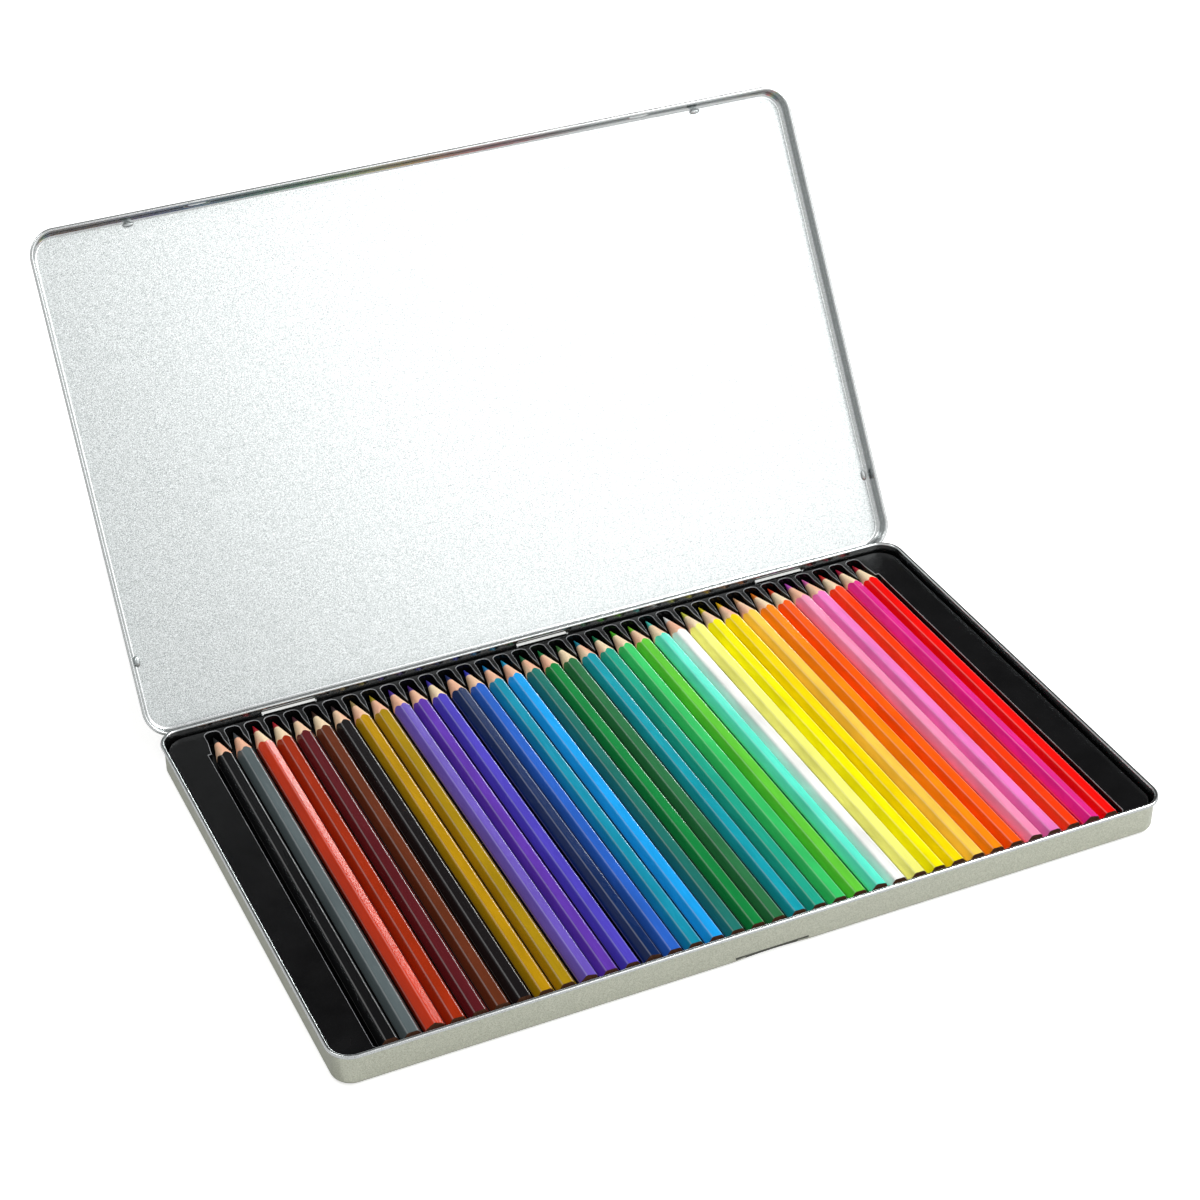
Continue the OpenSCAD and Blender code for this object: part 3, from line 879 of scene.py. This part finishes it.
def makePencil(node, coat, core, roll):
    low, high = [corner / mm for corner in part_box(node)]
    backY, tipY = low.y, high.y
    bm = bmesh.new()
    stand = Matrix.Rotation(radians(90), 4, "X")
    bmesh.ops.create_circle(
        bm, cap_ends=False, segments=6, radius=barrel["flats"] / 2 / cos(pi / 6),
        matrix=stand @ Matrix.Rotation(radians(30), 4, "Z"),
    )
    bmesh.ops.contextual_create(bm, geom=list(bm.edges))
    bmesh.ops.bevel(
        bm, geom=list(bm.verts), offset=barrel["round"], segments=5, profile=0.5,
        affect="VERTICES", material=-1, offset_type="OFFSET",
    )
    # each corner's middle is marked for the lacquer's painted highlight line
    corner = bm.verts.layers.float.new("corner")
    for v in bm.verts:
        away = abs(atan2(v.co.x, v.co.z) % radians(60) - radians(30))
        v[corner] = max(0.0, 1 - away / barrel["highlightArc"])
    flats = [e for e in bm.edges if e.calc_length() > barrel["round"]]
    bmesh.ops.subdivide_edges(bm, edges=flats, cuts=7)
    bmesh.ops.delete(bm, geom=list(bm.faces), context="FACES_ONLY")
    bmesh.ops.translate(bm, vec=(0, backY + barrel["coatEdge"], 0), verts=bm.verts)
    start = list(bm.edges)

    def shrunk(co, scale, y):
        return Vector((co.x * scale, y, co.z * scale))

    def toCircle(co, radius, y):
        return shrunk(co, radius / hypot(co.x, co.z), y)

    def onCone(co, radius):
        return toCircle(co, radius, tipY - (radius - barrel["tip"]) / barrel["cone"])

    def towardsCore(co, share):
        return onCone(co, hypot(co.x, co.z) * (1 - share) + barrel["core"] * share)

    # from the back edge to the tip: lacquered barrel, cut wood, bare core
    edges = ringOn(bm, start, pencilFaces["coat"], lambda co: onCone(co, hypot(co.x, co.z)))
    for share in barrel["woodShares"]:
        edges = ringOn(bm, edges, pencilFaces["wood"], lambda co: towardsCore(co, share))
    for radius in barrel["coreRadii"]:
        edges = ringOn(bm, edges, pencilFaces["core"], lambda co: onCone(co, radius))
    radius, back = barrel["point"]
    edges = ringOn(bm, edges, pencilFaces["core"], lambda co: toCircle(co, radius, tipY - back))
    tipCap = bmesh.ops.contextual_create(bm, geom=edges)["faces"]
    giveMaterial(tipCap, pencilFaces["core"])
    # and round the back end: coat's edge, sawn wood, core
    edges = start
    for share, deep in barrel["coatEnd"]:
        edges = ringOn(bm, edges, pencilFaces["coat"], lambda co: shrunk(co, share, backY + deep))
    share, deep = barrel["woodEnd"]
    edges = ringOn(bm, edges, pencilFaces["end"], lambda co: shrunk(co, share, backY + deep))
    edges = ringOn(bm, edges, pencilFaces["end"], lambda co: toCircle(co, barrel["core"], backY + deep))
    share, deep = barrel["coreEnd"]
    radius = barrel["core"] * share
    edges = ringOn(bm, edges, pencilFaces["core"], lambda co: toCircle(co, radius, backY + deep))
    backCap = bmesh.ops.contextual_create(bm, geom=edges)["faces"]
    giveMaterial(backCap, pencilFaces["core"])
    bmesh.ops.rotate(bm, cent=(0, 0, 0), matrix=Matrix.Rotation(radians(roll), 3, "Y"), verts=bm.verts)
    bmesh.ops.translate(bm, vec=((low.x + high.x) / 2, 0, (low.z + high.z) / 2), verts=bm.verts)
    bmesh.ops.recalc_face_normals(bm, faces=bm.faces)
    color = node.split("_", 2)[2]
    return finishPiece(
        bm, "pencil" + node[7:9] + "_" + color, node, [node],
        [lacquer(color, coat), wood, coreWax(color, core), woodEnd],
    )


pencilNodes = sorted(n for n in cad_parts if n.startswith("pencil_") and n != "pencil_tray")
for node, look in zip(pencilNodes, pencilRow):
    makePencil(node, *look)
print(len(pencilNodes), "pencils made")

# Studio: a white room with a dark cloth behind, three soft boxes, and the photograph's camera
studio = {
    "floor": 6.0,
    "floorGap": 0.0002,  # keeps the paper just under the base
    "floorSeen": 0.6,
    "floorMirrored": 0.1,
    "world": 0.4,  # what the room gives to matt surfaces
    "wall": 1.0,  # how bright the room is seen
    "flag": 0.1,  # and the dark cloth, which only mirrors show
    "flagTowards": (0.3, 0.75, 0.58),
    "flagEdge": (0.6, 0.88),  # how squarely a ray must meet it, from where it fades in to all dark
    "aim": (0.0, 0.0, 0.03),
    "key": {"place": (1.1, -0.25, 1.25), "size": (0.16, 1.0), "power": 20},
    "front": {"place": (0.83, -1.15, 1.18), "size": (0.95, 0.95), "power": 6.6},
    "top": {"place": (-0.75, 0.35, 1.5), "size": (0.16, 0.8), "power": 4},
}


def makeFloor():
    bm = bmesh.new()
    bmesh.ops.create_grid(bm, x_segments=1, y_segments=1, size=studio["floor"] / 2)
    bmesh.ops.translate(bm, vec=(0, 0, -studio["floorGap"]), verts=bm.verts)
    mesh = bpy.data.meshes.new("floor")
    bm.to_mesh(mesh)
    bm.free()
    # matt white paper; the camera and mirror rays see it a little brighter, shadows stay
    material, shader = startMaterial("whitePaper")[:2]
    path = addNode(material, "ShaderNodeLightPath", {}, {})
    mirrored = addNode(
        material, "ShaderNodeMath", {"operation": "MULTIPLY", 1: studio["floorMirrored"]},
        {0: path.outputs["Is Glossy Ray"]},
    )
    glow = addNode(
        material, "ShaderNodeMath", {"operation": "MULTIPLY_ADD", 1: studio["floorSeen"]},
        {0: path.outputs["Is Camera Ray"], 2: mirrored.outputs[0]},
    )
    setShader(
        material, shader,
        {"Base Color": linear("#f4f4f4"), "Roughness": 0.9, "Emission Color": (1, 1, 1, 1)},
        {"Emission Strength": glow.outputs[0]},
    )
    mesh.materials.append(material)
    floor = bpy.data.objects.new("floor", mesh)
    bpy.context.scene.collection.objects.link(floor)


def makeWorld():
    world = bpy.data.worlds.new("studioWorld")
    world.use_nodes = True
    bpy.context.scene.world = world
    tree = world.node_tree
    background = tree.nodes["Background"]
    background.inputs["Color"].default_value = (1, 1, 1, 1)
    path = addNode(world, "ShaderNodeLightPath", {}, {})
    seen = addNode(
        world, "ShaderNodeMath", {"operation": "MAXIMUM"},
        {0: path.outputs["Is Camera Ray"], 1: path.outputs["Is Glossy Ray"]},
    )
    both = addNode(
        world, "ShaderNodeMath", {"operation": "MAXIMUM"},
        {0: seen.outputs[0], 1: path.outputs["Is Transmission Ray"]},
    )
    along = addNode(world, "ShaderNodeTexCoord", {}, {})
    behind = addNode(
        world, "ShaderNodeVectorMath", {"operation": "DOT_PRODUCT", 1: studio["flagTowards"]},
        {0: along.outputs["Generated"]},
    )
    shine = rampOf(
        world, behind.outputs["Value"], *studio["flagEdge"], studio["wall"], studio["flag"]
    )
    level = addNode(
        world, "ShaderNodeMapRange", {"To Min": studio["world"]},
        {"Value": both.outputs[0], "To Max": shine},
    )
    tree.links.new(level.outputs[0], background.inputs["Strength"])


def addLight(name, look):
    data = bpy.data.lights.new(name, "AREA")
    data.shape = "RECTANGLE"
    data.size, data.size_y = look["size"]
    data.energy = look["power"]
    light = bpy.data.objects.new(name, data)
    light.location = look["place"]
    toAim = Vector(studio["aim"]) - Vector(look["place"])
    light.rotation_euler = toAim.to_track_quat("-Z", "Y").to_euler()  # its second size stands upright
    bpy.context.scene.collection.objects.link(light)


# the photograph's camera, worked out from the lines of the rims and the ends of the pencils
view = {
    "place": (-0.32767, -0.64541, 0.57159),
    "heading": 22.371,  # degrees to the right of +Y
    "down": 32.987,
    "roll": -1.621,
    "lens": 77.52,
    "shift": (0.10009, -0.03635),
}


def makeCamera():
    data = bpy.data.cameras.new("camera")
    data.lens = view["lens"]
    data.sensor_width = 36
    data.sensor_fit = "HORIZONTAL"
    data.shift_x, data.shift_y = view["shift"]
    data.clip_start = 0.01
    camera = bpy.data.objects.new("camera", data)
    turn = Matrix.Rotation(radians(-view["heading"]), 4, "Z")
    turn = turn @ Matrix.Rotation(radians(90 - view["down"]), 4, "X")
    turn = turn @ Matrix.Rotation(radians(view["roll"]), 4, "Z")
    camera.matrix_world = Matrix.Translation(view["place"]) @ turn
    bpy.context.scene.collection.objects.link(camera)
    bpy.context.scene.camera = camera


makeFloor()
makeWorld()
addLight("keyLight", studio["key"])
addLight("frontLight", studio["front"])
addLight("topLight", studio["top"])
makeCamera()
bpy.context.scene.view_settings.view_transform = "Standard"
print("studio made")
